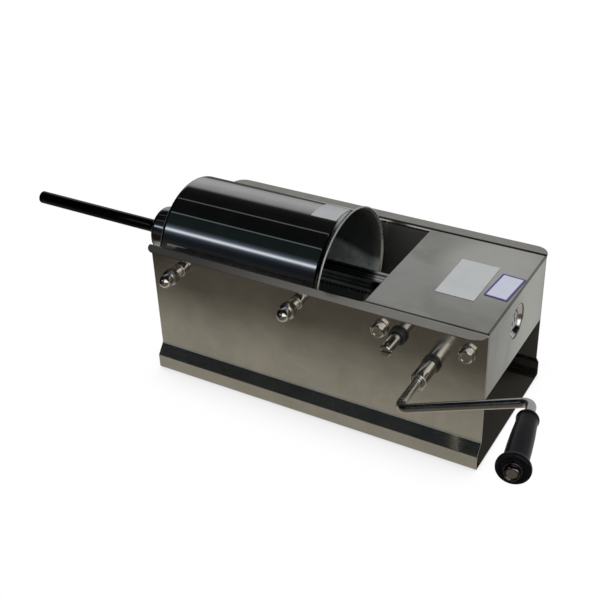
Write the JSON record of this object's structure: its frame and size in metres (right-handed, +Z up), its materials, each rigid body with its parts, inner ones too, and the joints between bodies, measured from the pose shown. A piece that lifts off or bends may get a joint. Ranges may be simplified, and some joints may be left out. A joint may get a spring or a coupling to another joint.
{
  "type": "sausage stuffer",
  "caption": "Hand-cranked horizontal sausage stuffer: steel cylinder in a folded channel, rack-driven piston, crank gearbox under a cover, long stuffing tube.",
  "frame": {"origin": "middle of the chassis floor's underside, on the table", "axes": "+X towards the gearbox end, -Y out of the wall with the crank, +Z up"},
  "size_m": [0.7988, 0.3982, 0.2261],
  "materials": {
    "satin_steel": "satin folded stainless sheet with a fine grain",
    "polished_steel": "polished stainless steel",
    "chrome": "bright plated steel",
    "gear_steel": "machined steel, lightly greased",
    "black_plastic": "gloss moulded plastic",
    "black_nylon": "matt nylon",
    "white_nylon": "matt food-grade nylon",
    "seal_rubber": "pale food-grade rubber",
    "label_white": "blank vinyl label"
  },
  "bodies": {
    "frame": {"chassis": "satin_steel", "cover": "satin_steel", "cover_label": "label_white", "small_label": "label_white", "end_bush": "chrome", "front_saddle": "satin_steel", "rear_saddle": "satin_steel", "clamp_1_boss": "chrome", "clamp_2_boss": "chrome", "front_frame_plate": "gear_steel", "rear_frame_plate": "gear_steel", "spacer_sleeve_1": "gear_steel", "spacer_sleeve_2": "gear_steel", "spacer_sleeve_3": "gear_steel", "spacer_sleeve_4": "gear_steel", "frame_washer_1": "chrome", "frame_washer_2": "chrome", "frame_washer_3": "chrome", "frame_washer_4": "chrome", "frame_bolt_1": "chrome", "frame_bolt_2": "chrome", "frame_bolt_3": "chrome", "frame_bolt_4": "chrome", "rack_guide": "white_nylon", "backup_pad": "white_nylon", "crank_shaft_bush": "black_nylon", "stub_shaft_bush": "black_nylon"},
    "barrel_unit": {"barrel": "polished_steel", "barrel_neck": "polished_steel", "tube_gasket": "seal_rubber", "barrel_label": "label_white"},
    "tube": {"stuffing_tube": "polished_steel"},
    "nut": {"ring_nut": "polished_steel"},
    "main_shaft": {"crank_shaft": "polished_steel", "rack_pinion": "gear_steel", "large_gear": "gear_steel", "shaft_clip": "gear_steel"},
    "second_shaft": {"stub_shaft": "polished_steel", "small_gear": "gear_steel"},
    "rack_and_piston": {"rack": "polished_steel", "piston_front": "white_nylon", "piston_seal": "seal_rubber", "piston_back": "white_nylon", "piston_bolt": "chrome"},
    "crank": {"crank_socket": "chrome", "socket_screw": "chrome", "crank_rod": "chrome", "grip_washer": "chrome", "grip_nut": "chrome"},
    "handle": {"grip": "black_plastic"},
    "clamp_1_screw": {"clamp_1_stud": "chrome"},
    "clamp_1_head": {"clamp_1_cap": "chrome"},
    "clamp_2_screw": {"clamp_2_stud": "chrome"},
    "clamp_2_head": {"clamp_2_cap": "chrome"}
  },
  "joints": [
    {"name": "crank_turn", "type": "hinge", "parent": "frame", "child": "main_shaft", "pos_m": [0.153, 0, 0.1181], "axis": [0, 1, 0], "range_deg": [0, 1026]},
    {"name": "rack_slide", "type": "slide", "parent": "frame", "child": "rack_and_piston", "axis": [1, 0, 0], "range_m": [0, 0.215]},
    {"name": "second_shaft_turn", "type": "hinge", "parent": "frame", "child": "second_shaft", "pos_m": [0.11315, 0, 0.14349], "axis": [0, 1, 0], "range_deg": [-3284, 0]},
    {"name": "crank_pull_off", "type": "slide", "parent": "main_shaft", "child": "crank", "axis": [0, -1, 0], "range_m": [0, 0.035]},
    {"name": "grip_spin", "type": "hinge", "parent": "crank", "child": "handle", "pos_m": [0.29245, -0.1748, 0.17444], "axis": [0.1801, -0.981, 0.0728], "continuous": true},
    {"name": "barrel_slide_out", "type": "slide", "parent": "frame", "child": "barrel_unit", "axis": [-1, 0, 0], "range_m": [0, 0.16]},
    {"name": "tube_slide", "type": "slide", "parent": "barrel_unit", "child": "tube", "axis": [-1, 0, 0], "range_m": [0, 0.0196]},
    {"name": "ring_nut_turn", "type": "hinge", "parent": "tube", "child": "nut", "pos_m": [-0.25, 0, 0.1395], "axis": [-1, 0, 0], "range_deg": [0, 2340]},
    {"name": "clamp_1_travel", "type": "slide", "parent": "frame", "child": "clamp_1_screw", "axis": [0, -1, 0], "range_m": [-0.009, 0.003]},
    {"name": "clamp_1_turn", "type": "hinge", "parent": "clamp_1_screw", "child": "clamp_1_head", "pos_m": [-0.1686, -0.12, 0.1558], "axis": [0, -1, 0], "range_deg": [-2170, 730]},
    {"name": "clamp_2_travel", "type": "slide", "parent": "frame", "child": "clamp_2_screw", "axis": [0, -1, 0], "range_m": [-0.009, 0.003]},
    {"name": "clamp_2_turn", "type": "hinge", "parent": "clamp_2_screw", "child": "clamp_2_head", "pos_m": [-0.0092, -0.12, 0.1558], "axis": [0, -1, 0], "range_deg": [-2170, 730]}
  ],
  "couplings": [
    {"joint": "rack_slide", "follows": "crank_turn", "m_per_rad": 0.012},
    {"joint": "second_shaft_turn", "follows": "crank_turn", "ratio": -3.2},
    {"joint": "tube_slide", "follows": "ring_nut_turn", "m_per_rad": 0.00047746},
    {"joint": "clamp_1_turn", "follows": "clamp_1_travel", "rad_per_m": 4188.8},
    {"joint": "clamp_2_turn", "follows": "clamp_2_travel", "rad_per_m": 4188.8}
  ]
}
